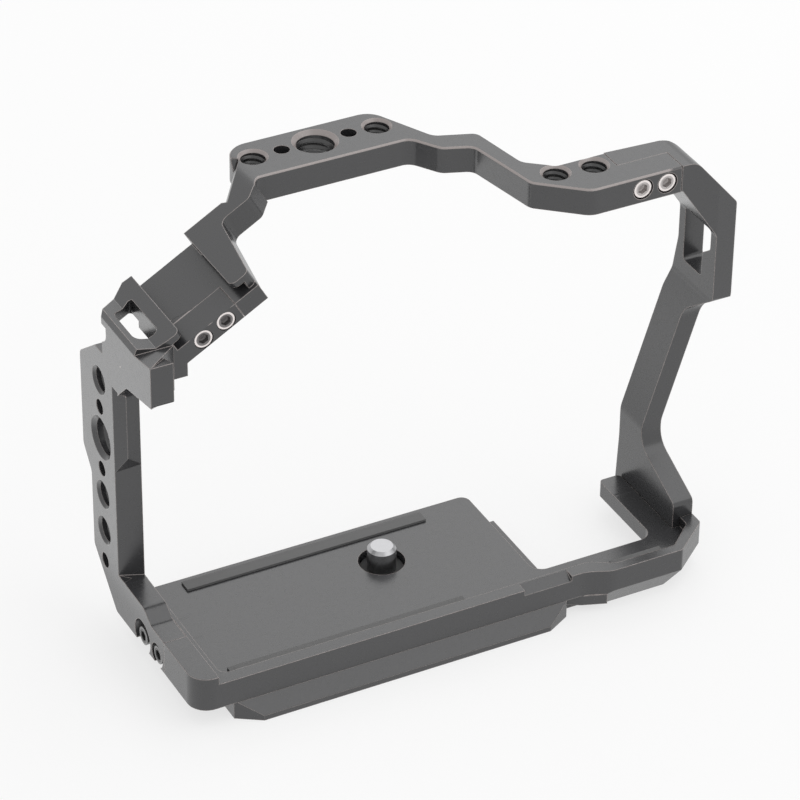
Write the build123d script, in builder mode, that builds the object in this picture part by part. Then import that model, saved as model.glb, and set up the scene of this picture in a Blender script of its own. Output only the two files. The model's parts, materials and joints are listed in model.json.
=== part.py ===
from build123d import *

import os
from math import cos, radians, sin, tan

# Camera cage for a small mirrorless camera: four milled aluminium frames that
# wrap the camera, the screws that join them, and the captive camera screw.
# +X is right and +Y is forward, to the lens, for someone standing behind it.
# The origin is the middle of the mouth of the top bar's 3/8 in hole.
# All sizes are in millimetres.

os.makedirs("parts", exist_ok=True)

# ---- Overall places --------------------------------------------------------
left_x = -55.0              # outer face of the left side frame
right_x = 76.0              # outer face of the right side frame
bar_rear_y = -42.3          # rear face of the bar's right end
bar_front_y = -30.4         # front face of the bar's right end
rail_under_z = -93.7        # underside of the dovetail
rail_height = 4.2
floor_thickness = 3.7
base_under_z = rail_under_z + rail_height       # underside of the base, beside the dovetail
seat_z = base_under_z + floor_thickness         # face that the camera stands on
plate_thickness = 5.0       # left side frame's plate
bar_thickness = 6.0         # top bar

# ---- Threads and their holes ----------------------------------------------
big_thread_r = 4.0          # 3/8 in - 16, at the thread's inner diameter
big_mouth_r = 4.9
small_thread_r = 2.6        # 1/4 in - 20, at the thread's inner diameter
small_mouth_r = 3.2
pin_hole_r = 1.7            # holes for locating pins beside a 3/8 in hole
pin_pitch = 7.62            # 3/8 in hole to a pin hole
small_pitch = 14.11         # 3/8 in hole to a 1/4 in hole
edge_break = 0.35           # small bevel along the upper edges

# ---- Joint screws (M2.5, socket heads) -------------------------------------
screw_r = 1.2
screw_hole_r = 1.25
head_r = 2.0
head_height = 1.9
head_seat_r = 2.3
head_seat_depth = 2.1
socket_r = 1.15             # over the corners
socket_depth = 1.1
thread_depth = 5.0          # how far a joint screw reaches into its thread

# ---- Inclined shoulder with the cold shoe ----------------------------------
bend_x = -18.4              # the bar bends down here
shoulder_angle = 30.0
bend_radius = 8.0
shoulder_front_y = -7.8
shoulder_rear_y = -30.8
neck_rear_y = -12.1
shoulder_depth = 7.6        # from the lips' top to the underside
lip_right_edge = 17.3       # distances down the slope from the bend
lip_left_edge = 30.8
shoe_slot_width = 18.7
shoe_slot_height = 2.0
lip_thickness = 1.4
shoe_stop_y = -12.5         # the slot under the lips ends here
tongue_right = 18.9         # right end of the left frame's tongue
tongue_front_y = -23.8
tongue_step = 2.5           # the left end of the tongue is this much nearer the front
joint_gap = 0.05            # between frames that are screwed together
end_gap = 0.15              # at the two ends of the right joint's lap
neck_bevel = 1.4
shoe_middle = (lip_right_edge + lip_left_edge) / 2
slot_right = shoe_middle - shoe_slot_width / 2
slot_left = shoe_middle + shoe_slot_width / 2
shoe_floor_depth = lip_thickness + shoe_slot_height
lap_depth = (shoe_floor_depth + shoulder_depth) / 2
left_joint_places = (22.3, 28.0)

slope = radians(shoulder_angle)
shoulder = Plane(
    origin=(bend_x, 0, 0),
    x_dir=(cos(slope), 0, sin(slope)),
    z_dir=(-sin(slope), 0, cos(slope)),
)


def on_slope(down, depth):
    """X and Z of a point so far down the slope and so deep below its surface."""
    x = bend_x - down * cos(slope) + depth * sin(slope)
    z = -down * sin(slope) - depth * cos(slope)
    return x, z


# ---- Right end -------------------------------------------------------------
tongue_x = 50.4             # left end of the right frame's tongue
tongue_rear_y = -36.0
bar_right_x = 62.1
right_joint_x = (52.95, 58.6)
right_thickness = 4.8
right_front_y = -30.0
right_bevel_x = 65.5        # the outer bevel starts here on top
right_bevel_z = -12.3
right_post_end_z = -35.0
right_foot_x = 65.5
right_foot_rear_y = -48.3
right_foot_front_y = -24.0
right_foot_top_z = seat_z + 6.1
right_bar_front_y = -25.0
right_bar_rear_y = -34.0
post_front_y = -27.7
bar_thread_outer = (46.3, -33.7)
bar_thread_inner = (37.8, -32.9)

# ---- Base ------------------------------------------------------------------
base_rear_y = -56.5
base_front_y = -18.0
base_left_x = left_x + plate_thickness
foot_seam_y = -41.2
foot_top_z = seat_z + 4.1
wall_top_z = seat_z + 2.3
wall_thickness = 3.0
heel_rear_y = -58.7         # thick right end of the rear wall
heel_x = 40.0
heel_wall = 2.2
heel_chamfer_x = 57.0
heel_chamfer_y = -51.8
rail_width = 38.0
rail_flank = 3.0
rail_rear_y = -59.4
rail_left_x = -46.4
rail_right_x = 30.5
relief_left_x = 20.3
relief_length = 11.2
battery_left_x = 27.0
battery_right_x = 55.5
battery_rear_y = -49.0
foot_screw_z = base_under_z + 2.35
left_foot_y = (-30.6, -37.8)
left_foot_seat_r = (3.8, 2.7)
right_foot_y = (-42.5, -32.5)

# ---- Camera screw ----------------------------------------------------------
camera_screw_y = -31.0
camera_screw_r = 3.1
camera_screw_head_r = 6.6
camera_screw_head_height = 2.4
camera_screw_reach = 5.5    # above the seat when it is done up
camera_screw_travel = 1.5
screw_pocket_r = 7.2
screw_pocket_depth = 4.3
ring_seat_depth = 2.4
ring_thickness = 0.7
ring_r = 4.6
ring_seat_r = 5.0
running_gap = 0.1
ring_neck_r = 2.4
pad_thickness = 0.5


# ============================================================================
# Top bar: flat accessory plate, S-shaped bar to the right, inclined shoulder
# with the right half of the cold shoe to the left
# ============================================================================
bar_outline = (
    (bend_x, 6.0, 5.0),
    (15.6, 6.0, 5.0),
    (22.8, -8.6, 3.0),
    (31.3, -11.7, 2.5),
    (33.9, -26.0, 3.0),
    (39.4, bar_front_y, 3.0),
    (tongue_x - end_gap, bar_front_y, 0),
    (tongue_x - end_gap, tongue_rear_y, 0),
    (bar_right_x - end_gap, tongue_rear_y, 0),
    (bar_right_x - end_gap, bar_rear_y, 0),
    (41.0, bar_rear_y, 4.0),
    (31.4, -34.1, 3.0),
    (27.9, -16.3, 2.5),
    (21.8, -14.0, 3.0),
    (17.7, -7.65, 3.0),
    (-16.9, -7.65, 2.0),
    (bend_x, -9.5, 0),
)
neck_outline = (
    (0, 1.0, 0),
    (-1.2, -1.0, 3.0),
    (-7.6, shoulder_front_y, 0.6),
    (-lip_right_edge, shoulder_front_y, 0),
    (-lip_right_edge, shoulder_rear_y + 1, 1.5),
    (-12.9, shoulder_rear_y + 1, 1.5),
    (-10.2, neck_rear_y, 2.0),
    (-2.9, neck_rear_y, 2.0),
    (0, -9.5, 0),
)
shoe_floor_outline = (
    (-12.0, shoulder_front_y),
    (-slot_left + joint_gap, shoulder_front_y),
    (-slot_left + joint_gap, tongue_front_y + tongue_step + joint_gap),
    (-26.0, tongue_front_y + joint_gap),
    (-tongue_right + joint_gap, tongue_front_y + joint_gap),
    (-tongue_right + joint_gap, shoulder_rear_y),
    (-12.9, shoulder_rear_y),
)

with BuildPart() as top_bar:
    with BuildSketch(Plane.XY):
        with BuildLine():
            FilletPolyline(
                *[(x, y) for x, y, radius in bar_outline],
                radius=[radius for x, y, radius in bar_outline],
                close=True,
            )
        make_face()
    extrude(amount=-bar_thickness)
    # Small bevel along the upper edges of the plate and the bar
    upper_edges = top_bar.faces().sort_by(Axis.Z)[-1].outer_wire().edges()
    rim = upper_edges.filter_by(lambda edge: edge.center().X > bend_x + 3)
    rim = rim.filter_by(
        lambda edge: edge.center().X < bar_thread_outer[0] or edge.center().Y < bar_rear_y + 0.01
    )
    chamfer(rim, length=edge_break)
    # Neck and right lip, in the inclined plane
    with BuildSketch(shoulder):
        with BuildLine():
            FilletPolyline(
                *[(x, y) for x, y, radius in neck_outline],
                radius=[radius for x, y, radius in neck_outline],
                close=True,
            )
        make_face()
    extrude(amount=-bar_thickness)
    # Wedge that fills the underside of the bend
    with BuildSketch(Plane.XZ.offset(-1.0)):
        with BuildLine():
            Polyline(
                (bend_x, 0),
                (bend_x, -bar_thickness),
                on_slope(0, bar_thickness),
                close=True,
            )
        make_face()
    extrude(amount=10.5)
    # Soft bend between the plate and the neck
    bend_run = bend_radius * tan(slope / 2)
    with BuildSketch(Plane.XZ.offset(-8.0)):
        with BuildLine():
            RadiusArc(on_slope(bend_run, 0), (bend_x + bend_run, 0), bend_radius)
            Polyline((bend_x + bend_run, 0), (bend_x + bend_run, 1), (bend_x - 2, 1), on_slope(bend_run, 0))
        make_face()
    extrude(amount=22.0, mode=Mode.SUBTRACT)
    # Floor of the shoe, with the solid side behind the right lip
    with BuildSketch(shoulder.offset(-shoe_floor_depth)):
        with BuildLine():
            Polyline(*shoe_floor_outline, close=True)
        make_face()
    extrude(amount=-(shoulder_depth - shoe_floor_depth))
    # Slot under the right lip, open at the rear and closed at the front
    with BuildSketch(shoulder.offset(-lip_thickness)):
        with Locations((-lip_right_edge, (shoe_stop_y + shoulder_rear_y - 1) / 2)):
            Rectangle(2 * (lip_right_edge - slot_right), shoe_stop_y - shoulder_rear_y + 1)
    extrude(amount=-shoe_slot_height, mode=Mode.SUBTRACT)
    # Bevel along the neck's front edge
    start_x, start_y = neck_outline[1][:2]
    end_x, end_y = neck_outline[2][:2]
    along = shoulder.x_dir * (end_x - start_x) + shoulder.y_dir * (end_y - start_y)
    inward = shoulder.y_dir * (end_x - start_x) - shoulder.x_dir * (end_y - start_y)
    neck_edge = Plane(shoulder.from_local_coords((start_x, start_y, 0)), x_dir=inward, z_dir=along)
    with BuildSketch(neck_edge.offset(-3.0)):
        with BuildLine():
            Polyline((neck_bevel, 0), (-1, -neck_bevel - 1), (-1, 2), (neck_bevel, 2), close=True)
        make_face()
    extrude(amount=along.length + 3.0, mode=Mode.SUBTRACT)
    # Accessory holes of the flat plate
    with Locations((0, 0, 0)):
        CounterSinkHole(big_thread_r, big_mouth_r, counter_sink_angle=90)
    with Locations((-pin_pitch, 0, 0), (pin_pitch, 0, 0)):
        Hole(pin_hole_r)
    with Locations((-small_pitch, 0, 0), (small_pitch, 0, 0), bar_thread_inner, bar_thread_outer):
        CounterSinkHole(small_thread_r, small_mouth_r, counter_sink_angle=90)
    # Screws of the right joint pass through the rear lap
    lap_hole_depth = tongue_rear_y - bar_rear_y + 1
    for x in right_joint_x:
        with Locations(Plane((x, bar_rear_y, -bar_thickness / 2), z_dir=(0, -1, 0))):
            CounterBoreHole(screw_hole_r, head_seat_r, head_seat_depth, depth=lap_hole_depth)
    # Threads for the left joint's screws
    for down in left_joint_places:
        x, z = on_slope(down, lap_depth)
        with Locations(Plane((x, tongue_front_y, z), z_dir=(0, -1, 0))):
            Hole(screw_hole_r, depth=thread_depth + 0.5)
top_bar.part.label = "top_bar"
export_step(top_bar.part, "parts/top_bar.step")


# ============================================================================
# Left side frame: plate with accessory holes, block with the left half of the
# cold shoe and a strap slot, tongue under the shoe and foot on the base
# ============================================================================
plate_rear_y = -21.2
plate_bevel = 2.1
hole_row_y = -12.5
big_hole_z = -48.85
lower_hole_z = -72.0
corner_rear_y = -38.4       # rear corner behind the tongue
corner_top_z = -16.85
corner_under_z = -26.3
corner_inner_x = -46.5
corner_inner_under_z = -28.8
facet_outer_z = -18.2       # outer edge of the facets beside the lip
plate_top_z = -33.6         # the plate's rear edge is straight from here
plate_end_z = foot_top_z + 2.4
left_plate_outline = (
    (corner_rear_y, corner_top_z, 0),
    (corner_rear_y, corner_under_z, 1.0),
    (-26.5, -28.4, 2.0),
    (plate_rear_y, plate_top_z, 3.0),
    (plate_rear_y, plate_end_z, 2.0),
    (-31.5, plate_end_z - 0.1, 3.0),
    (-35.0, foot_top_z, 2.0),
    (foot_seam_y, foot_top_z, 0),
    (foot_seam_y, base_under_z, 0),
    (-17.6, base_under_z, 1.0),
    (-7.0, plate_end_z + 0.6, 1.5),
    (-7.0, -60.4, 2.0),
    (-3.2, -55.6, 2.0),
    (-3.2, -32.9, 2.0),
    (-17.0, -22.6, 2.0),
    (-17.0, -19.5, 0),
    (shoulder_rear_y, -19.5, 0),
)
# Outer shape of the lip and the facets beside it, seen from behind
lip_outline = (
    on_slope(lip_left_edge, 0),
    (-47.7, -16.7),
    (-50.3, -17.8),
    (-54.4, -16.85),
    (left_x, facet_outer_z),
    (left_x, -19.8),
    on_slope(slot_left, shoe_floor_depth + 0.6),
    on_slope(slot_left, shoe_floor_depth),
    on_slope(lip_left_edge, shoe_floor_depth),
)
lip_root_outline = (
    on_slope(slot_left, lip_thickness),
    on_slope(slot_left, shoulder_depth),
    (on_slope(slot_left, shoulder_depth)[0], corner_under_z),
    (left_x, corner_under_z),
    (left_x, facet_outer_z),
)
# Strap slot, seen from above
strap_slot_outline = (
    (-53.0, -26.9, 1.5),
    (-47.8, -26.9, 1.5),
    (-47.8, -13.2, 0.6),
    (-53.0, -16.6, 1.5),
)
strap_exit_z = -21.6
strap_exit_under_z = -29.5
strap_exit_x = -43.0

# Rear corner behind the tongue, cut off at a slant: its top falls towards the
# lip and its underside inwards
with BuildPart() as rear_corner:
    with BuildSketch(Plane.XY.offset(corner_inner_under_z)):
        with BuildLine():
            Polyline(
                (left_x, shoulder_rear_y),
                (left_x, corner_rear_y),
                (corner_inner_x, shoulder_rear_y),
                close=True,
            )
        make_face()
    extrude(amount=corner_top_z - corner_inner_under_z)
    with BuildSketch(Plane.YZ.offset(left_x)):
        with BuildLine():
            Polyline(
                (corner_rear_y, corner_top_z),
                (shoulder_rear_y, facet_outer_z),
                (shoulder_rear_y, corner_inner_under_z),
                (corner_rear_y, corner_inner_under_z),
                close=True,
            )
        make_face()
    extrude(amount=corner_inner_x - left_x, mode=Mode.INTERSECT)
    with BuildSketch(Plane.XZ.offset(-corner_rear_y)):
        with BuildLine():
            Polyline(
                (left_x, corner_under_z),
                (left_x + plate_thickness, corner_inner_under_z),
                (corner_inner_x, corner_inner_under_z),
                (corner_inner_x, corner_top_z),
                (left_x, corner_top_z),
                close=True,
            )
        make_face()
    extrude(amount=corner_rear_y - shoulder_rear_y, mode=Mode.INTERSECT)

with BuildPart() as left_side_frame:
    with BuildSketch(Plane.YZ.offset(left_x)):
        with BuildLine():
            FilletPolyline(
                *[(y, z) for y, z, radius in left_plate_outline],
                radius=[radius for y, z, radius in left_plate_outline],
                close=True,
            )
        make_face()
    extrude(amount=plate_thickness)
    # Bevel along the rear edge of the plate
    with BuildSketch(Plane.XY.offset(plate_end_z)):
        with BuildLine():
            Polyline(
                (left_x, plate_rear_y + plate_bevel),
                (left_x + plate_bevel, plate_rear_y),
                (left_x - 1, plate_rear_y - 1),
                close=True,
            )
        make_face()
    extrude(amount=plate_top_z - plate_end_z + 1.3, mode=Mode.SUBTRACT)
    # Left lip of the shoe and its facets
    with BuildSketch(Plane.XZ.offset(-shoulder_front_y)):
        with BuildLine():
            Polyline(*lip_outline, close=True)
        make_face()
    extrude(amount=shoulder_front_y - shoulder_rear_y)
    # Body below the lip
    with BuildSketch(Plane.XZ.offset(17.0)):
        with BuildLine():
            Polyline(*lip_root_outline, close=True)
        make_face()
    extrude(amount=-17.0 - shoulder_rear_y)
    add(rear_corner.part)
    # Slant of the lip's front corner
    with BuildSketch(Plane.XY.offset(-27)):
        with BuildLine():
            Polyline(
                (left_x - 1, shoulder_front_y + 1),
                (-47.0, shoulder_front_y + 1),
                (-47.2, shoulder_front_y),
                (left_x, -14.9),
                (left_x - 1, -15.8),
                close=True,
            )
        make_face()
    extrude(amount=12, mode=Mode.SUBTRACT)
    # Tongue below the shoe's floor, with its top flush with the floor
    with BuildSketch(shoulder.offset(-shoe_floor_depth)):
        with BuildLine():
            Polyline(
                (-slot_left - 1, tongue_front_y + tongue_step),
                (-slot_left, tongue_front_y + tongue_step),
                (-26.0, tongue_front_y),
                (-tongue_right, tongue_front_y),
                (-tongue_right, shoulder_rear_y),
                (-slot_left - 1, shoulder_rear_y),
                close=True,
            )
        make_face()
    extrude(amount=-(shoulder_depth - shoe_floor_depth))
    # Slot under the left lip
    with BuildSketch(shoulder.offset(-lip_thickness)):
        with Locations((-lip_left_edge, (shoe_stop_y + shoulder_rear_y - 1) / 2)):
            Rectangle(2 * (slot_left - lip_left_edge), shoe_stop_y - shoulder_rear_y + 1)
    extrude(amount=-shoe_slot_height, mode=Mode.SUBTRACT)
    # Rounded rear corner of the lip
    corner_x, corner_z = on_slope(lip_left_edge, lip_thickness / 2)
    lip_corner = left_side_frame.edges().sort_by_distance((corner_x, shoulder_rear_y, corner_z))[0]
    fillet(lip_corner, radius=1.5)
    # Strap slot through the facets
    with BuildSketch(Plane.XY.offset(-27)):
        with BuildLine():
            FilletPolyline(
                *[(x, y) for x, y, radius in strap_slot_outline],
                radius=[radius for x, y, radius in strap_slot_outline],
                close=True,
            )
        make_face()
    extrude(amount=12, mode=Mode.SUBTRACT)
    # The strap leaves the slot inwards, below the shoe
    slot_outer_x = strap_slot_outline[0][0]
    slot_rear_y = strap_slot_outline[0][1]
    slot_front_y = strap_slot_outline[2][1]
    with BuildSketch(Plane.XZ.offset(-slot_rear_y)):
        with BuildLine():
            Polyline(
                (slot_outer_x, strap_exit_z),
                (slot_outer_x, strap_exit_under_z),
                (strap_exit_x, strap_exit_under_z),
                (strap_exit_x, strap_exit_z - 3.0),
                (strap_exit_x - 3.0, strap_exit_z),
                close=True,
            )
        make_face()
    extrude(amount=slot_rear_y - slot_front_y, mode=Mode.SUBTRACT)
    # Accessory holes of the plate
    with Locations(Plane((left_x, hole_row_y, big_hole_z), z_dir=(-1, 0, 0))):
        CounterSinkHole(big_thread_r, big_mouth_r, counter_sink_angle=90)
    for z in (big_hole_z - pin_pitch, big_hole_z + pin_pitch):
        with Locations(Plane((left_x, hole_row_y, z), z_dir=(-1, 0, 0))):
            Hole(pin_hole_r)
    for z in (big_hole_z - small_pitch, big_hole_z + small_pitch, lower_hole_z):
        with Locations(Plane((left_x, hole_row_y, z), z_dir=(-1, 0, 0))):
            CounterSinkHole(small_thread_r, small_mouth_r, counter_sink_angle=90)
    with Locations(Plane((left_x, hole_row_y, lower_hole_z - pin_pitch), z_dir=(-1, 0, 0))):
        Hole(pin_hole_r)
    # Screw holes of the tongue and the foot
    for down in left_joint_places:
        x, z = on_slope(down, lap_depth)
        with Locations(Plane((x, shoulder_rear_y, z), z_dir=(0, -1, 0))):
            CounterBoreHole(screw_hole_r, head_r + 0.1, head_seat_depth, depth=9)
    for y, seat_radius in zip(left_foot_y, left_foot_seat_r):
        with Locations(Plane((left_x, y, foot_screw_z), z_dir=(-1, 0, 0))):
            CounterBoreHole(screw_hole_r, seat_radius, head_seat_depth, depth=plate_thickness + 1)
left_side_frame.part.label = "left_side_frame"
export_step(left_side_frame.part, "parts/left_side_frame.step")


# ============================================================================
# Right side frame: front profile (tongue, bevel, post, foot) cut back by the
# side profile that leaves room for the palm
# ============================================================================
right_front_outline = (
    (tongue_x, 0, 0),
    (right_bevel_x, 0, 4.0),
    (right_x, right_bevel_z, 1.5),
    (right_x, right_post_end_z, 4.0),
    (right_foot_x, -68.0, 6.0),
    (right_foot_x, base_under_z, 0),
    (right_foot_x - right_thickness, base_under_z, 0),
    (right_foot_x - right_thickness, -68.5, 6.0),
    (right_x - right_thickness, right_post_end_z - 0.5, 4.0),
    (right_x - right_thickness, -19.0, 2.0),
    (62.4, -bar_thickness, 0),
    (tongue_x, -bar_thickness, 0),
)
right_side_outline = (
    (bar_rear_y, 1.0, 0),
    (bar_rear_y, right_post_end_z, 1.5),
    (right_bar_rear_y, right_post_end_z - 6.0, 4.0),
    (right_bar_rear_y, -73.0, 5.0),
    (right_foot_rear_y, right_foot_top_z, 1.5),
    (right_foot_rear_y, base_under_z - 1, 0),
    (right_foot_front_y, base_under_z - 1, 0),
    (right_bar_front_y, -76.0, 3.0),
    (right_bar_front_y, -40.0, 6.0),
    (post_front_y, right_post_end_z + 8.0, 6.0),
    (post_front_y, -16.5, 3.0),
    (bar_front_y, -7.0, 3.0),
    (bar_front_y, 1.0, 0),
)
# Front edge of the tongue and the bend, seen from above
tongue_front_outline = (
    (tongue_x, bar_front_y),
    (63.0, -31.2),
    (65.0, -31.9),
    (66.3, -33.0),
    (69.0, bar_front_y),
    (69.0, bar_front_y + 1),
    (tongue_x, bar_front_y + 1),
)
# Strap window in the post, seen from the side
right_window_outline = (
    (-29.95, -18.4, 1.0),
    (-40.2, -18.4, 1.0),
    (-40.2, -23.6, 1.0),
    (-37.3, -25.7, 1.0),
    (-37.3, -31.5, 1.0),
    (-29.95, -31.5, 1.0),
)

with BuildPart() as right_side_frame:
    with BuildSketch(Plane.XZ.offset(-right_foot_front_y)):
        with BuildLine():
            FilletPolyline(
                *[(x, z) for x, z, radius in right_front_outline],
                radius=[radius for x, z, radius in right_front_outline],
                close=True,
            )
        make_face()
    extrude(amount=right_foot_front_y - right_foot_rear_y)
    with BuildSketch(Plane.YZ.offset(tongue_x - 1)):
        with BuildLine():
            FilletPolyline(
                *[(y, z) for y, z, radius in right_side_outline],
                radius=[radius for y, z, radius in right_side_outline],
                close=True,
            )
        make_face()
    extrude(amount=right_x - tongue_x + 2, mode=Mode.INTERSECT)
    # The tongue lies in the front half of the lap
    with BuildSketch(Plane.XY.offset(1)):
        with BuildLine():
            Polyline(
                (tongue_x - 1, tongue_rear_y),
                (bar_right_x, tongue_rear_y),
                (bar_right_x, bar_rear_y - 1),
                (tongue_x - 1, bar_rear_y - 1),
                close=True,
            )
        make_face()
    extrude(amount=-bar_thickness - 2, mode=Mode.SUBTRACT)
    # The tongue's front edge runs back towards the bevel
    with BuildSketch(Plane.XY.offset(1)):
        with BuildLine():
            Polyline(*tongue_front_outline, close=True)
        make_face()
    extrude(amount=-bar_thickness - 1, mode=Mode.SUBTRACT)
    # The post's rear face turns forwards a little from its inner edge
    post_inner_x = right_x - right_thickness
    with BuildSketch(Plane.XY.offset(1)):
        with BuildLine():
            Polyline(
                (post_inner_x, bar_rear_y),
                (right_x, bar_rear_y + 0.5),
                (right_x, bar_rear_y - 1),
                (post_inner_x, bar_rear_y - 1),
                close=True,
            )
        make_face()
    extrude(amount=right_post_end_z - 8.0, mode=Mode.SUBTRACT)
    # Strap window through the post
    with BuildSketch(Plane.YZ.offset(post_inner_x - 2)):
        with BuildLine():
            FilletPolyline(
                *[(y, z) for y, z, radius in right_window_outline],
                radius=[radius for y, z, radius in right_window_outline],
                close=True,
            )
        make_face()
    extrude(amount=right_thickness + 3, mode=Mode.SUBTRACT)
    # Threads in the tongue and screw holes of the foot
    for x in right_joint_x:
        with Locations(Plane((x, tongue_rear_y, -bar_thickness / 2), z_dir=(0, -1, 0))):
            Hole(screw_hole_r, depth=thread_depth + 0.5)
    for y in right_foot_y:
        with Locations(Plane((right_foot_x, y, foot_screw_z), z_dir=(1, 0, 0))):
            CounterBoreHole(screw_hole_r, head_seat_r, head_seat_depth, depth=right_thickness + 1)
right_side_frame.part.label = "right_side_frame"
export_step(right_side_frame.part, "parts/right_side_frame.step")


# ============================================================================
# Base plate: seat for the camera, low walls, dovetail below
# ============================================================================
base_outline = (
    (base_left_x + joint_gap, base_front_y, 1.0),
    (base_left_x + joint_gap, foot_seam_y - joint_gap, 0),
    (left_x, foot_seam_y - joint_gap, 0),
    (left_x, base_rear_y, 4.3),
    (35.0, base_rear_y, 8.0),
    (heel_x, heel_rear_y, 6.0),
    (heel_chamfer_x, heel_rear_y, 1.0),
    (right_foot_x, heel_chamfer_y, 1.0),
    (right_foot_x, right_foot_rear_y - joint_gap, 0),
    (right_foot_x - right_thickness - joint_gap, right_foot_rear_y - joint_gap, 0),
    (right_foot_x - right_thickness - joint_gap, -26.0, 1.0),
    (battery_right_x, -26.0, 1.0),
    (battery_right_x, battery_rear_y, 3.0),
    (battery_left_x, battery_rear_y, 3.0),
    (battery_left_x, base_front_y, 2.0),
)
seat_left_x = base_left_x + wall_thickness - 1.0
seat_right_x = right_foot_x - 3.0
seat_outline = (
    (seat_left_x, base_front_y + 1, 0),
    (seat_left_x, base_rear_y + wall_thickness, 2.0),
    (heel_x - 3.0, base_rear_y + wall_thickness, 4.0),
    (heel_x + 2.0, heel_rear_y + heel_wall, 4.0),
    (heel_chamfer_x - 0.7, heel_rear_y + heel_wall, 1.0),
    (seat_right_x, heel_chamfer_y + 0.8, 1.0),
    (seat_right_x, base_front_y + 1, 0),
)
rail_outline = (
    (rail_rear_y, rail_under_z),
    (rail_rear_y, rail_under_z + 1.2),
    (rail_rear_y + rail_flank, base_under_z),
    (rail_rear_y + rail_width - rail_flank, base_under_z),
    (rail_rear_y + rail_width, rail_under_z + 1.2),
    (rail_rear_y + rail_width, rail_under_z),
)

with BuildPart() as base_plate:
    with BuildSketch(Plane.XY.offset(base_under_z)):
        with BuildLine():
            FilletPolyline(
                *[(x, y) for x, y, radius in base_outline],
                radius=[radius for x, y, radius in base_outline],
                close=True,
            )
        make_face()
    extrude(amount=foot_top_z - base_under_z)
    # The walls are lower everywhere but at the left rear corner
    with BuildSketch(Plane.XY.offset(wall_top_z)):
        with BuildLine():
            Polyline(
                (base_left_x + 0.2, base_front_y + 1),
                (base_left_x + 0.2, base_rear_y - 1),
                (base_left_x + 1.2, heel_rear_y - 1),
                (right_foot_x + 1, heel_rear_y - 1),
                (right_foot_x + 1, base_front_y + 1),
                close=True,
            )
        make_face()
    extrude(amount=foot_top_z - wall_top_z, mode=Mode.SUBTRACT)
    # Seat of the camera
    with BuildSketch(Plane.XY.offset(seat_z)):
        with BuildLine():
            FilletPolyline(
                *[(x, y) for x, y, radius in seat_outline],
                radius=[radius for x, y, radius in seat_outline],
                close=True,
            )
        make_face()
    extrude(amount=foot_top_z - seat_z, mode=Mode.SUBTRACT)
    # Sloping relief in the rear wall for a fingertip at the screen's edge
    with BuildSketch(Plane.YZ.offset(relief_left_x)):
        with BuildLine():
            Polyline(
                (base_rear_y + wall_thickness - 0.5, wall_top_z),
                (base_rear_y - 0.5, wall_top_z - 1.6),
                (base_rear_y - 0.5, wall_top_z + 0.5),
                (base_rear_y + wall_thickness - 0.5, wall_top_z + 0.5),
                close=True,
            )
        make_face()
    extrude(amount=relief_length, mode=Mode.SUBTRACT)
    # Heel below the thick right end of the wall
    with BuildSketch(Plane.XY.offset(rail_under_z)):
        with BuildLine():
            FilletPolyline(
                (rail_right_x, base_rear_y + 2.0),
                (rail_right_x, battery_rear_y),
                (battery_right_x, battery_rear_y),
                (battery_right_x, right_foot_rear_y - 0.2),
                (right_foot_x, right_foot_rear_y - 0.2),
                (right_foot_x, heel_chamfer_y),
                (heel_chamfer_x, heel_rear_y),
                (heel_x, heel_rear_y),
                (34.0, base_rear_y),
                radius=(0, 0, 0, 0, 0, 1.0, 1.0, 6.0, 0),
                close=True,
            )
        make_face()
    extrude(amount=rail_height)
    # Long chamfer below the thick end of the wall, and the step beside it
    with BuildSketch(Plane.YZ.offset(heel_x - 0.8)):
        with BuildLine():
            Polyline(
                (heel_rear_y, base_under_z + 0.7),
                (heel_rear_y + 2.9, rail_under_z),
                (heel_rear_y + 2.9, rail_under_z - 1),
                (heel_rear_y - 1, rail_under_z - 1),
                (heel_rear_y - 1, base_under_z + 0.7),
                close=True,
            )
        make_face()
    extrude(amount=right_foot_x - heel_x + 1, mode=Mode.SUBTRACT)
    corner_run = Vector(right_foot_x - heel_chamfer_x, heel_chamfer_y - heel_rear_y, 0)
    corner_start = Vector(heel_chamfer_x, heel_rear_y, base_under_z + 0.7)
    corner_plane = Plane(corner_start, x_dir=Vector(-corner_run.Y, corner_run.X, 0), z_dir=corner_run)
    with BuildSketch(corner_plane.offset(-2.0)):
        with BuildLine():
            Polyline((0, 0), (3.8, -4.9), (3.8, -6), (-2, -6), (-2, 0), close=True)
        make_face()
    extrude(amount=corner_run.length + 8.0, mode=Mode.SUBTRACT)
    with Locations(((rail_right_x + heel_x - 0.8) / 2, base_rear_y, rail_under_z)):
        Box(heel_x - 0.8 - rail_right_x, 5.0, 3.6, mode=Mode.SUBTRACT)
    # Dovetail
    with BuildSketch(Plane.YZ.offset(rail_left_x)):
        with BuildLine():
            Polyline(*rail_outline, close=True)
        make_face()
    extrude(amount=rail_right_x - rail_left_x)
    # Slanted ends of the dovetail
    end_cut_y = rail_rear_y - 0.5
    left_end = (
        (rail_left_x - 1, rail_rear_y + rail_flank + 1),
        (rail_left_x + 6, end_cut_y),
        (rail_left_x - 1, end_cut_y),
    )
    right_end = (
        (rail_right_x, rail_rear_y + rail_flank - 0.1),
        (rail_right_x, end_cut_y),
        (rail_right_x - 6.3, end_cut_y),
    )
    for corners in (left_end, right_end):
        with BuildSketch(Plane.XY.offset(rail_under_z - 0.1)):
            with BuildLine():
                Polyline(*corners, close=True)
            make_face()
        extrude(amount=rail_height + 0.1, mode=Mode.SUBTRACT)
    # Captive camera screw: head pocket, web, ring seat
    with Locations(Plane((0, camera_screw_y, rail_under_z), z_dir=(0, 0, -1))):
        CounterBoreHole(
            camera_screw_r + 0.15, screw_pocket_r, screw_pocket_depth, depth=20
        )
    with Locations(Plane((0, camera_screw_y, seat_z))):
        Hole(ring_seat_r, depth=ring_seat_depth)
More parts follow.
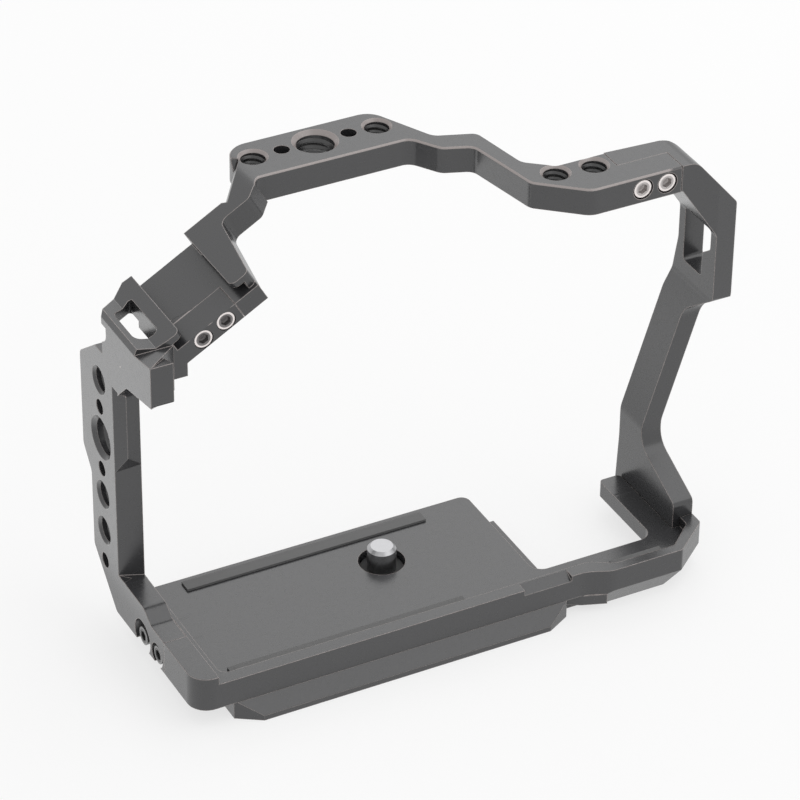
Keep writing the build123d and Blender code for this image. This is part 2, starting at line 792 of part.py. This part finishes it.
    # Threads for the feet's screws
    for y in left_foot_y:
        with Locations(Plane((base_left_x + joint_gap, y, foot_screw_z), z_dir=(-1, 0, 0))):
            Hole(screw_hole_r, depth=thread_depth + 0.5)
    for y in right_foot_y:
        foot_inner_x = right_foot_x - right_thickness - joint_gap
        with Locations(Plane((foot_inner_x, y, foot_screw_z), z_dir=(1, 0, 0))):
            Hole(screw_hole_r, depth=thread_depth)
base_plate.part.label = "base_plate"
export_step(base_plate.part, "parts/base_plate.step")


# ============================================================================
# Joint screws
# ============================================================================
def joint_screws(label, seats, lap):
    """Socket-head screws in counterbores at these planes, through a lap this thick."""
    with BuildPart() as screws:
        for seat in seats:
            with Locations(seat.offset(-head_seat_depth)):
                Cylinder(head_r, head_height, align=(Align.CENTER, Align.CENTER, Align.MIN))
            with Locations(seat.offset(-lap - thread_depth)):
                Cylinder(
                    screw_r,
                    lap + thread_depth - head_seat_depth,
                    align=(Align.CENTER, Align.CENTER, Align.MIN),
                )
            with BuildSketch(seat.offset(head_height - head_seat_depth)):
                RegularPolygon(socket_r, 6)
            extrude(amount=-socket_depth, mode=Mode.SUBTRACT)
    screws.part.label = label
    export_step(screws.part, f"parts/{label}.step")


left_joint_seats = []
for down in left_joint_places:
    x, z = on_slope(down, lap_depth)
    left_joint_seats.append(Plane((x, shoulder_rear_y, z), z_dir=(0, -1, 0)))
right_joint_seats = [
    Plane((x, bar_rear_y, -bar_thickness / 2), z_dir=(0, -1, 0)) for x in right_joint_x
]
left_foot_seats = [Plane((left_x, y, foot_screw_z), z_dir=(-1, 0, 0)) for y in left_foot_y]
right_foot_seats = [Plane((right_foot_x, y, foot_screw_z), z_dir=(1, 0, 0)) for y in right_foot_y]
joint_screws("left_joint_screws", left_joint_seats, tongue_front_y - shoulder_rear_y)
joint_screws("right_joint_screws", right_joint_seats, tongue_rear_y - bar_rear_y)
joint_screws("left_foot_screws", left_foot_seats, plate_thickness)
joint_screws("right_foot_screws", right_foot_seats, right_thickness)


# ============================================================================
# Captive camera screw and its retaining ring, at the bottom of their travel
# ============================================================================
screw_head_z = rail_under_z + 0.2
ring_z = seat_z - ring_seat_depth + running_gap
screw_tip_z = seat_z + camera_screw_reach - camera_screw_travel

with BuildPart() as camera_screw:
    with BuildSketch(Plane.XY.offset(screw_head_z)):
        with Locations((0, camera_screw_y)):
            Circle(camera_screw_head_r)
    extrude(amount=camera_screw_head_height)
    chamfer(camera_screw.edges().sort_by(Axis.Z)[0], length=0.4)
    with BuildSketch(Plane.XY.offset(screw_head_z + camera_screw_head_height)):
        with Locations((0, camera_screw_y)):
            Circle(camera_screw_r)
    extrude(amount=screw_tip_z - screw_head_z - camera_screw_head_height)
    chamfer(camera_screw.edges().sort_by(Axis.Z)[-1], length=0.7)
    # Groove for the ring
    with BuildSketch(Plane.XY.offset(ring_z - running_gap)):
        with Locations((0, camera_screw_y)):
            Circle(camera_screw_r + 1)
            Circle(ring_neck_r, mode=Mode.SUBTRACT)
    extrude(amount=ring_thickness + 2 * running_gap, mode=Mode.SUBTRACT)
    # Slot for a coin
    with BuildSketch(Plane.XY.offset(screw_head_z)):
        with Locations((0, camera_screw_y)):
            Rectangle(2 * camera_screw_head_r + 1, 1.8)
    extrude(amount=1.3, mode=Mode.SUBTRACT)
camera_screw.part.label = "camera_screw"
export_step(camera_screw.part, "parts/camera_screw.step")

with BuildPart() as camera_screw_ring:
    with BuildSketch(Plane.XY.offset(ring_z)):
        with Locations((0, camera_screw_y)):
            Circle(ring_r)
            Circle(ring_neck_r + running_gap, mode=Mode.SUBTRACT)
    extrude(amount=ring_thickness)
camera_screw_ring.part.label = "camera_screw_ring"
export_step(camera_screw_ring.part, "parts/camera_screw_ring.step")


# ============================================================================
# Rubber pads on the seat
# ============================================================================
pads = {
    "rear_pad": (-18.0, base_rear_y + wall_thickness + 2.0, 54.0, 3.0),
    "heel_pad": (right_foot_x - 17.0, heel_rear_y + heel_wall + 1.8, 12.0, 3.0),
    "front_pad": (-13.0, base_front_y - 3.0, 56.0, 3.0),
}
for pad_name, (x, y, length, width) in pads.items():
    with BuildPart() as pad:
        with BuildSketch(Plane.XY.offset(seat_z)):
            with Locations((x, y)):
                Rectangle(length, width)
        extrude(amount=pad_thickness)
    pad.part.label = pad_name
    export_step(pad.part, f"parts/{pad_name}.step")
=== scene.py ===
import json
import math

import bmesh
import bpy
from mathutils import Matrix, Vector


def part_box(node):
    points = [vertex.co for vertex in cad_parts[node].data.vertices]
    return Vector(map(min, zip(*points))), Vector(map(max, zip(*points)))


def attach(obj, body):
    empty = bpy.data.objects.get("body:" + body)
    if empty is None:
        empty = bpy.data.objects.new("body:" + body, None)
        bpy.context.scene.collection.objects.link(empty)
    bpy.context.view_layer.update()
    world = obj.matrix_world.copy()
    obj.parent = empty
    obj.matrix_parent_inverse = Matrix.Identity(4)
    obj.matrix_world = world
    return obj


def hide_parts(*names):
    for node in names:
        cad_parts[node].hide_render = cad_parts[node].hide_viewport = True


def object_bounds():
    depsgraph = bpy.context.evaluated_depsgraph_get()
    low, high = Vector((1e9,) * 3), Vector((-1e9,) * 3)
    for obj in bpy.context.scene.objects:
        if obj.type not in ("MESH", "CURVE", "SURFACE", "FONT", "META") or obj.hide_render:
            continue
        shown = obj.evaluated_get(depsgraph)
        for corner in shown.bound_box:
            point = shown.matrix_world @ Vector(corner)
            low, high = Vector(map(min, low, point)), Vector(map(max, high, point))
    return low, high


# Looks of the camera cage: black anodised aluminium, steel screws, rubber pads.
# Metres, in the CAD's frame: +X right and +Y forward for someone behind the camera.

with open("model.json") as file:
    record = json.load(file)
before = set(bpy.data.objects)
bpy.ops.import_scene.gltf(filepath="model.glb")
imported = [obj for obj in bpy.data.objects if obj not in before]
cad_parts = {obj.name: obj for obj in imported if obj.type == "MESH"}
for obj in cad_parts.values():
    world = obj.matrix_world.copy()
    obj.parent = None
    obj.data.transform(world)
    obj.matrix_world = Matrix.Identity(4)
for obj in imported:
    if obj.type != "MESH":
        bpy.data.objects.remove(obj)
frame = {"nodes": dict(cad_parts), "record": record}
cad_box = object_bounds()
nodes = frame["nodes"]
mm = 0.001

# ---- Camera, at the photograph's angle --------------------------------------
azimuth = math.radians(-27.867)
elevation = math.radians(33.959)
roll = math.radians(0.691)
camera_place = Vector((-0.316418, -0.636533, 0.414585))

camera_data = bpy.data.cameras.new("camera")
camera_data.sensor_width = 36.0
camera_data.lens = 181.02
camera_data.shift_x = 0.0009
camera_data.shift_y = 0.0027
camera_data.clip_start = 0.01
camera_data.clip_end = 50.0
camera = bpy.data.objects.new("camera", camera_data)
bpy.context.scene.collection.objects.link(camera)
camera.matrix_world = (
    Matrix.Translation(camera_place)
    @ Matrix.Rotation(azimuth, 4, "Z")
    @ Matrix.Rotation(math.pi / 2 - elevation, 4, "X")
    @ Matrix.Rotation(roll, 4, "Z")
)
bpy.context.scene.camera = camera
bpy.context.scene.view_settings.view_transform = "Standard"


# ---- Nodes that the materials share -----------------------------------------
def new_material(name):
    """A new node material, its tree and its Principled shader."""
    material = bpy.data.materials.new(name)
    material.use_nodes = True
    tree = material.node_tree
    return material, tree, tree.nodes["Principled BSDF"]


def add_node(tree, kind, **settings):
    node = tree.nodes.new(kind)
    for key, value in settings.items():
        setattr(node, key, value)
    return node


def calculate(tree, operation, *values):
    """A Math node on sockets and plain numbers."""
    node = add_node(tree, "ShaderNodeMath", operation=operation)
    for socket, value in zip(node.inputs, values):
        if isinstance(value, float):
            socket.default_value = value
        else:
            tree.links.new(value, socket)
    return node.outputs["Value"]


def spread(tree, value, low, high, out_low, out_high):
    """Carry the range from low to high over to another range, and stop at its ends."""
    node = add_node(tree, "ShaderNodeMapRange")
    node.inputs["From Min"].default_value = low
    node.inputs["From Max"].default_value = high
    node.inputs["To Min"].default_value = out_low
    node.inputs["To Max"].default_value = out_high
    tree.links.new(value, node.inputs["Value"])
    return node.outputs["Result"]


def mix_colours(tree, factor, first, second):
    """From the first colour, which may be a socket, to the second."""
    node = add_node(tree, "ShaderNodeMix", data_type="RGBA")
    tree.links.new(factor, node.inputs["Factor"])
    if isinstance(first, tuple):
        node.inputs["A"].default_value = (*first, 1.0)
    else:
        tree.links.new(first, node.inputs["A"])
    node.inputs["B"].default_value = (*second, 1.0)
    return node.outputs["Result"]


def object_point(tree):
    """The point on the surface in the frame's metres."""
    return add_node(tree, "ShaderNodeTexCoord").outputs["Object"]


def noise(tree, scale, detail):
    """A noise fixed to the object, with about this many ripples to the metre."""
    node = add_node(tree, "ShaderNodeTexNoise")
    node.inputs["Scale"].default_value = scale
    node.inputs["Detail"].default_value = detail
    tree.links.new(object_point(tree), node.inputs["Vector"])
    return node.outputs["Fac"]


def spread_noise(tree, value, out_low, out_high):
    """Carry a noise, which seldom leaves 0.3 to 0.7, over to another range."""
    noise_low = 0.3
    noise_high = 0.7
    return spread(tree, value, noise_low, noise_high, out_low, out_high)


def bump(tree, height, strength, distance):
    node = add_node(tree, "ShaderNodeBump")
    node.inputs["Strength"].default_value = strength
    node.inputs["Distance"].default_value = distance
    tree.links.new(height, node.inputs["Height"])
    return node


def distance_from_line(tree, place, direction):
    """How far the point on the surface lies from an axis."""
    away = add_node(tree, "ShaderNodeVectorMath", operation="SUBTRACT")
    tree.links.new(object_point(tree), away.inputs[0])
    away.inputs[1].default_value = place
    across = add_node(tree, "ShaderNodeVectorMath", operation="CROSS_PRODUCT")
    tree.links.new(away.outputs["Vector"], across.inputs[0])
    across.inputs[1].default_value = direction
    length = add_node(tree, "ShaderNodeVectorMath", operation="LENGTH")
    tree.links.new(across.outputs["Vector"], length.inputs[0])
    return length.outputs["Value"]


def rounded_normal(tree, radius, sharp_lines=()):
    """A normal that rounds sharp edges, but not within a given distance of a sharp line."""
    whole_again = 1.1  # the rounding is whole from this many times that distance
    bevel = add_node(tree, "ShaderNodeBevel", samples=8)
    bevel.inputs["Radius"].default_value = radius
    reach = radius
    for place, direction, distance in sharp_lines:
        from_line = distance_from_line(tree, place, direction)
        clear = spread(tree, from_line, distance, whole_again * distance, 0.0, 1.0)
        reach = calculate(tree, "MULTIPLY", clear, reach)
    if sharp_lines:
        tree.links.new(reach, bevel.inputs["Radius"])
    return bevel.outputs["Normal"]


def edge_mask(tree, rounded):
    """1 on the edges, where the rounded normal leaves the surface's own."""
    alike_on_faces = 0.985
    alike_on_edges = 0.90
    geometry = add_node(tree, "ShaderNodeNewGeometry")
    alike = add_node(tree, "ShaderNodeVectorMath", operation="DOT_PRODUCT")
    tree.links.new(rounded, alike.inputs[0])
    tree.links.new(geometry.outputs["Normal"], alike.inputs[1])
    return spread(tree, alike.outputs["Value"], alike_on_faces, alike_on_edges, 0.0, 1.0)


# ---- Painted highlights: countersinks, edge breaks facing up, the lap's edge ----
highlight_lowest_z = -80.0 * mm
highlight_left_x = -49.0 * mm  # inside of the left plate
highlight_right_x = 60.0 * mm  # bevel of the right corner
highlight_normal_z = math.cos(math.pi / 4)
highlight_normal_slack = 0.06
highlight_share = 0.75  # how far such a face goes from black to the colour of wear and painted highlights

lap_slope = math.radians(30.0)
lap_place = Vector((-36.6 * mm, -23.75 * mm, -14.3 * mm))
lap_direction = Vector((math.cos(lap_slope), 0.0, math.sin(lap_slope)))
# A painted highlight runs along the lap's edge, as a bright line round it:
lap_glint_r = 0.16 * mm  # the lap's edge is bright this far round its line,
lap_glint_end_r = 0.24 * mm  # and black again from here


def split(tree, vector):
    node = add_node(tree, "ShaderNodeSeparateXYZ")
    tree.links.new(vector, node.inputs["Vector"])
    return node.outputs


def painted_highlight_faces(tree):
    """A mask for painted highlights on the countersinks and edge breaks that face up at 45
    degrees, above a height and between the left plate and the right corner's bevel."""
    normal = split(tree, add_node(tree, "ShaderNodeNewGeometry").outputs["True Normal"])
    sloped = calculate(tree, "COMPARE", normal["Z"], highlight_normal_z, highlight_normal_slack)
    place = split(tree, object_point(tree))
    above = spread(tree, place["Z"], highlight_lowest_z, highlight_lowest_z + mm, 0.0, highlight_share)
    inside_left = spread(tree, place["X"], highlight_left_x - mm, highlight_left_x, 0.0, 1.0)
    inside_right = spread(tree, place["X"], highlight_right_x - mm, highlight_right_x, 1.0, 0.0)
    inside = calculate(tree, "MULTIPLY", inside_left, inside_right)
    return calculate(tree, "MULTIPLY", sloped, calculate(tree, "MULTIPLY", above, inside))


# ---- Materials --------------------------------------------------------------
def anodised(name, black, worn_and_highlight, roughness, edge_radius, sharp_lines=(), lap_glint_line=None):
    """Black anodised aluminium: a dyed oxide skin with a satin gloss, with painted highlights
    on its countersinks, on edge breaks facing up and along the edge of the lap, and on its
    edges slight wear mixed with a painted highlight."""
    oxide_ior = 1.7
    lightest_cloud = 1.12
    least_rubbed = 0.6
    roughness_swing = 0.02
    material, tree, shader = new_material(name)
    rounded = rounded_normal(tree, edge_radius, sharp_lines)
    grain = noise(tree, scale=5200.0, detail=3.0)
    cloud = noise(tree, scale=60.0, detail=3.0)
    patchy = noise(tree, scale=900.0, detail=2.0)
    lighter = tuple(lightest_cloud * c for c in black)
    body = mix_colours(tree, cloud, black, lighter)
    rubbing = spread_noise(tree, patchy, least_rubbed, 1.0)
    # Edges take the bright colour: partly slight wear, partly a painted highlight along them.
    worn_and_highlit_edges = calculate(tree, "MULTIPLY", edge_mask(tree, rounded), rubbing)
    # Countersinks and edge breaks that face up at 45 degrees take the bright colour too, as a
    # painted highlight.
    bright = calculate(tree, "MAXIMUM", worn_and_highlit_edges, painted_highlight_faces(tree))
    # A painted highlight along the edge of the lap.
    if lap_glint_line is not None:
        from_lap = distance_from_line(tree, *lap_glint_line)
        lap_glint = spread(tree, from_lap, lap_glint_r, lap_glint_end_r, 1.0, 0.0)
        bright = calculate(tree, "MAXIMUM", bright, lap_glint)
    tree.links.new(mix_colours(tree, bright, body, worn_and_highlight), shader.inputs["Base Color"])
    tree.links.new(
        spread_noise(tree, patchy, roughness - roughness_swing, roughness + roughness_swing),
        shader.inputs["Roughness"],
    )
    shader.inputs["IOR"].default_value = oxide_ior
    fine = bump(tree, grain, strength=0.03, distance=0.02 * mm)
    tree.links.new(rounded, fine.inputs["Normal"])
    tree.links.new(fine.outputs["Normal"], shader.inputs["Normal"])
    return material


def steel(name, colour, roughness, edge_radius):
    """Stainless steel with faint machining marks."""
    darkest_mark = 0.8
    smoother = 0.05
    rougher = 0.06
    material, tree, shader = new_material(name)
    marks = noise(tree, scale=2600.0, detail=4.0)
    darker = tuple(darkest_mark * c for c in colour)
    tree.links.new(mix_colours(tree, marks, darker, colour), shader.inputs["Base Color"])
    tree.links.new(
        spread_noise(tree, marks, roughness - smoother, roughness + rougher),
        shader.inputs["Roughness"],
    )
    shader.inputs["Metallic"].default_value = 1.0
    fine = bump(tree, marks, strength=0.15, distance=0.03 * mm)
    tree.links.new(rounded_normal(tree, edge_radius), fine.inputs["Normal"])
    tree.links.new(fine.outputs["Normal"], shader.inputs["Normal"])
    return material


def screw_heads(name, places, direction, rim, dish):
    """Screw heads with a polished rim painted bright, a painted highlight, round a dished
    middle painted darker, a painted shade.
    """
    rim_inner_r = 1.5 * mm
    rim_bright_r = 1.6 * mm
    dish_flat_r = 0.6 * mm
    rim_roughness = 0.16
    dish_roughness = 0.36
    metallic = 0.6
    edge_radius = 0.25 * mm
    material, tree, shader = new_material(name)
    distances = [distance_from_line(tree, place, direction) for place in places]
    from_axis = calculate(tree, "MINIMUM", *distances)
    inside = spread(tree, from_axis, rim_inner_r, rim_bright_r, 1.0, 0.0)
    # The rim is painted bright as a painted highlight, and the dished middle darker as a
    # painted shade.
    tree.links.new(mix_colours(tree, inside, rim, dish), shader.inputs["Base Color"])
    tree.links.new(
        spread(tree, inside, 0.0, 1.0, rim_roughness, dish_roughness),
        shader.inputs["Roughness"],
    )
    shader.inputs["Metallic"].default_value = metallic
    depth = spread(tree, from_axis, dish_flat_r, rim_inner_r, 0.0, 1.0)
    dished = bump(tree, depth, strength=0.6, distance=0.4 * mm)
    tree.links.new(rounded_normal(tree, edge_radius), dished.inputs["Normal"])
    tree.links.new(dished.outputs["Normal"], shader.inputs["Normal"])
    return material


def rubber(name, colour):
    """Matt rubber or nylon with a fine skin."""
    lightest_skin = 1.3
    smoothest = 0.66
    roughest = 0.8
    material, tree, shader = new_material(name)
    skin = noise(tree, scale=3400.0, detail=3.0)
    lighter = tuple(lightest_skin * c for c in colour)
    tree.links.new(mix_colours(tree, skin, colour, lighter), shader.inputs["Base Color"])
    tree.links.new(spread_noise(tree, skin, smoothest, roughest), shader.inputs["Roughness"])
    fine = bump(tree, skin, strength=0.3, distance=0.05 * mm)
    tree.links.new(fine.outputs["Normal"], shader.inputs["Normal"])
    return material


def screw_axes(node_name):
    """A point on the axis of each of a group's two screws, which lie at opposite corners
    of its box."""
    head_r = 2.0 * mm
    low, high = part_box(node_name)
    inset = Vector((head_r, head_r, head_r))
    return low + inset, high - inset


x_axis = Vector((1, 0, 0))
y_axis = Vector((0, 1, 0))

skin_black = (0.030, 0.030, 0.032)
# Bright colour for slight wear on edges and for the painted highlights on edges, countersinks
# and the lap's edge.
skin_worn_and_highlight = (0.42, 0.37, 0.355)
# The threads take a darker copy of the skin and of its edge colour: painted shade inside the
# bores.
thread_skin_shaded = (0.02, 0.02, 0.021)
thread_worn_and_highlight_shaded = (0.12, 0.115, 0.11)
skin_roughness = 0.26
thread_roughness = 0.25
frame_edge_r = 0.3 * mm
thread_edge_r = 0.1 * mm
screw_edge_r = 0.12 * mm
screw_roughness = 0.32
clear_r = 3.0 * mm  # this far round the left joint's screws, no edge is rounded
sharp_lines = [(place, y_axis, clear_r) for place in screw_axes("left_joint_screws")]
frame_look = (skin_black, skin_worn_and_highlight, skin_roughness, frame_edge_r, sharp_lines)
frame_black = anodised("frame_black", *frame_look)
# Only the left frame takes the painted highlight along the lap's edge.
left_frame_black = anodised("left_frame_black", *frame_look, (lap_place, lap_direction))
# Darker copy of the anodised skin for the threads, painted shade inside the bores.
thread_shaded_black = anodised(
    "thread_shaded_black", thread_skin_shaded, thread_worn_and_highlight_shaded, thread_roughness, thread_edge_r
)

screw_grey = (0.45, 0.45, 0.46)
ring_grey = (0.03, 0.03, 0.03)
pad_grey = (0.12, 0.12, 0.12)
camera_screw_steel = steel("camera_screw_steel", screw_grey, screw_roughness, screw_edge_r)
ring_black = rubber("ring_black", ring_grey)
pad_rubber = rubber("pad_rubber", pad_grey)

# Screw heads: rims painted bright as a painted highlight, dished middles painted darker as a
# painted shade.
bright_rim_highlight = (0.90, 0.84, 0.82)
steel_dish_shade = (0.20, 0.19, 0.19)
light_dish_shade = (0.50, 0.47, 0.46)
black_rim_highlight = (0.16, 0.16, 0.16)
black_dish_shade = (0.07, 0.07, 0.07)

material_of_slot = {
    "frame_black": frame_black,
    "camera_screw_steel": camera_screw_steel,
    "ring_black": ring_black,
    "pad_rubber": pad_rubber,
}
look_of_screws = {
    "left_joint_screws": (y_axis, bright_rim_highlight, steel_dish_shade),
    "right_joint_screws": (y_axis, bright_rim_highlight, light_dish_shade),
    "left_foot_screws": (x_axis, black_rim_highlight, black_dish_shade),
    "right_foot_screws": (x_axis, black_rim_highlight, black_dish_shade),
}
for row in frame["record"]["subparts"]:
    node_name = row["node"]
    if node_name in look_of_screws:
        material = screw_heads(node_name, screw_axes(node_name), *look_of_screws[node_name])
    elif node_name == "left_side_frame":
        material = left_frame_black
    else:
        material = material_of_slot[row["material_slot"]]
    node_data = nodes[node_name].data
    node_data.materials.clear()
    node_data.materials.append(material)


# ---- Threads in the accessory holes -----------------------------------------
def new_piece(name, mesh):
    """A bmesh, turned into an object in the scene."""
    data = bpy.data.meshes.new(name)
    mesh.to_mesh(data)
    mesh.free()
    piece = bpy.data.objects.new(name, data)
    bpy.context.scene.collection.objects.link(piece)
    return piece


def thread(name, mouth, into, radius, depth, pitch, ridge):
    """A helical thread on a bore's wall, from just below its mouth to its far end. The
    ridge grows out of the wall over its first steps and runs out over its last ones."""
    turn_steps = 48
    fade_steps = 12
    lowest_ridge = 0.05
    half_root = 0.48  # in pitches, as is the next
    half_crest = 0.08
    profile = ((0.0, -half_root), (ridge, -half_crest), (ridge, half_crest), (0.0, half_root))
    into = into.normalized()
    side = into.orthogonal().normalized()
    other = into.cross(side)
    steps = int(turn_steps * (depth / pitch - 2 * half_root))
    mesh = bmesh.new()
    rings = []
    for step in range(steps + 1):
        angle = math.tau * step / turn_steps
        out = math.cos(angle) * side + math.sin(angle) * other
        middle = pitch * (step / turn_steps + half_root)
        fade = max(lowest_ridge, min(1.0, step / fade_steps, (steps - step) / fade_steps))
        ring = []
        for inward, along in profile:
            reach = middle + along * pitch
            edge = out * (radius - inward * fade)
            ring.append(mesh.verts.new(mouth + edge + into * reach))
        rings.append(ring)
    for first, second in zip(rings, rings[1:]):
        for k in range(len(profile)):
            j = (k + 1) % len(profile)
            mesh.faces.new((first[k], first[j], second[j], second[k]))
    mesh.faces.new(rings[0])
    mesh.faces.new(reversed(rings[-1]))
    bmesh.ops.recalc_face_normals(mesh, faces=mesh.faces)
    piece = new_piece(name, mesh)
    piece.data.materials.append(thread_shaded_black)
    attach(piece, "cage")


top_face_z = 0.0
left_face_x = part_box("left_side_frame")[0].x
top_thickness = 6.0 * mm
side_thickness = 5.0 * mm
big_pitch = 1.5875 * mm
big_ridge = 0.42 * mm
small_pitch = 1.27 * mm
small_ridge = 0.36 * mm
smallest_big_r = 3.5 * mm
wall_gap = 0.01 * mm
for mount in frame["record"]["mounts"]:
    if mount["kind"] != "threaded_hole":
        continue
    axis = Vector(mount["axis"])
    hole_r = mount["dims"]["r_mm"] * mm
    depth = mount["dims"]["length_mm"] * mm
    mouth = Vector(mount["pos_m"])
    faces_up = axis.z > 0.5
    if faces_up:
        mouth.z = top_face_z - (top_thickness - depth)
    else:
        mouth.x = left_face_x + (side_thickness - depth)
    if hole_r > smallest_big_r:
        pitch, ridge = big_pitch, big_ridge
    else:
        pitch, ridge = small_pitch, small_ridge
    thread("thread_" + mount["name"], mouth, -axis, hole_r - wall_gap, depth, pitch, ridge)


# ---- Corner of the top plate, closed where the neck's front bevel runs out --
def hull(name, corners):
    """A convex solid round the given corners, in millimetres."""
    mesh = bmesh.new()
    for corner in corners:
        mesh.verts.new(Vector(corner) * mm)
    bmesh.ops.convex_hull(mesh, input=mesh.verts)
    return new_piece(name, mesh)


plate_corner = (
    (-18.40, 0.26, -2.77),
    (-18.40, 1.00, -1.38),
    (-18.37, 1.58, -0.35),
    (-18.24, 1.74, -0.25),
    (-18.12, 1.87, -0.22),
    (-17.11, 0.96, -0.05),
    (-16.90, 0.90, -0.27),
    (-17.09, 1.87, -2.01),
)
corner_piece = hull("plate_corner", plate_corner)
corner_piece.data.materials.append(frame_black)
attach(corner_piece, "cage")


# ---- Left frame, its bevel widened to the whole rear face below the middle --
def cut_away(node_name, name, corners):
    """A copy of a node with a convex solid cut out of it, which stands for that node."""
    weld_distance = 0.001 * mm
    sharpest_smooth = math.radians(17.0)
    data = nodes[node_name].data.copy()
    mesh = bmesh.new()
    mesh.from_mesh(data)
    bmesh.ops.remove_doubles(mesh, verts=mesh.verts, dist=weld_distance)
    mesh.to_mesh(data)
    mesh.free()
    piece = bpy.data.objects.new(name, data)
    bpy.context.scene.collection.objects.link(piece)
    piece.matrix_world = nodes[node_name].matrix_world
    cutter = hull("cutter", corners)
    cut = piece.modifiers.new("cut", "BOOLEAN")
    cut.object = cutter
    cut.operation = "DIFFERENCE"
    cut.solver = "EXACT"
    depsgraph = bpy.context.evaluated_depsgraph_get()
    cut_data = bpy.data.meshes.new_from_object(piece.evaluated_get(depsgraph))
    piece.modifiers.clear()
    piece.data = cut_data
    if "custom_normal" in cut_data.attributes:
        cut_data.attributes.remove(cut_data.attributes["custom_normal"])
    cut_data.shade_smooth()
    cut_data.set_sharp_from_angle(angle=sharpest_smooth)
    bpy.data.objects.remove(cutter)
    return piece


# Millimetres. The cutter's top is a plane through one point, and its front runs from the
# outer to the inner end.
outer_end = (-55.6, -18.85)
inner_end = (-49.4, -21.45)
behind_y = -25.0
rebate_bottom = -79.25
top_point = (-52.9, -21.2, -49.3)
top_rise_x = -0.76
top_rise_y = -2.76
rebate_corners = []
for x, y in (outer_end, inner_end, (inner_end[0], behind_y), (outer_end[0], behind_y)):
    top = top_point[2] + top_rise_x * (x - top_point[0]) + top_rise_y * (y - top_point[1])
    rebate_corners.append((x, y, rebate_bottom))
    rebate_corners.append((x, y, top))

left_piece = cut_away("left_side_frame", "left_side_frame_shaped", rebate_corners)
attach(left_piece, "cage")
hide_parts("left_side_frame")


# ---- Floor and world: white to the camera and in reflections ----------------
def seen_directly(tree, path):
    """1 for camera, glossy and transmission rays, and 0 for all other rays."""
    seen = path.outputs["Is Camera Ray"]
    for kind in ("Is Glossy Ray", "Is Transmission Ray"):
        seen = calculate(tree, "MAXIMUM", seen, path.outputs[kind])
    return seen


def floor_white(share_lit):
    """A white floor, to the camera and in reflections. For the camera it is partly lit,
    so that it keeps the shadow."""
    material, tree, shader = new_material("floor")
    shader.inputs["Base Color"].default_value = (0.95, 0.95, 0.95, 1.0)
    shader.inputs["Roughness"].default_value = 0.8
    shader.inputs["Specular IOR Level"].default_value = 0.0
    path = add_node(tree, "ShaderNodeLightPath")
    lit = calculate(tree, "MULTIPLY", path.outputs["Is Camera Ray"], share_lit)
    share_white = calculate(tree, "SUBTRACT", seen_directly(tree, path), lit)
    glow = add_node(tree, "ShaderNodeEmission")
    mixed = add_node(tree, "ShaderNodeMixShader")
    tree.links.new(share_white, mixed.inputs[0])
    tree.links.new(shader.outputs["BSDF"], mixed.inputs[1])
    tree.links.new(glow.outputs["Emission"], mixed.inputs[2])
    tree.links.new(mixed.outputs["Shader"], tree.nodes["Material Output"].inputs["Surface"])
    return material


floor_size = 6.0
floor_z = cad_box[0].z
floor_share_lit = 0.3
bpy.ops.mesh.primitive_plane_add(size=floor_size, location=(0.0, 0.0, floor_z))
floor = bpy.context.object
floor.name = "floor"
floor.data.materials.append(floor_white(floor_share_lit))

world_light = 0.7
world = bpy.data.worlds.new("world")
bpy.context.scene.world = world
world.use_nodes = True
world_tree = world.node_tree
background = world_tree.nodes["Background"]
background.inputs["Color"].default_value = (1.0, 1.0, 1.0, 1.0)
world_path = add_node(world_tree, "ShaderNodeLightPath")
world_seen = seen_directly(world_tree, world_path)
world_tree.links.new(
    spread(world_tree, world_seen, 0.0, 1.0, world_light, 1.0), background.inputs["Strength"]
)


# ---- Studio light: a softbox overhead, and a low reflector to the left ------
def softbox(name, place, size, radiance, turn=0.0):
    """A rectangular lamp that faces straight down, or is turned about X."""
    light = bpy.data.lights.new(name, "AREA")
    light.shape = "RECTANGLE"
    light.size, light.size_y = size
    light.energy = radiance * math.pi * size[0] * size[1]
    lamp = bpy.data.objects.new(name, light)
    bpy.context.scene.collection.objects.link(lamp)
    lamp.location = place
    lamp.rotation_euler.x = turn
    lamp.visible_camera = False


softbox("overhead_softbox", place=(0.85, 0.35, 1.2), size=(1.5, 3.7), radiance=0.85)
softbox(
    "left_reflector",
    place=(-0.137, 0.08, floor_z + mm),
    size=(0.15, 0.22),
    radiance=0.6,
    turn=math.pi,
)
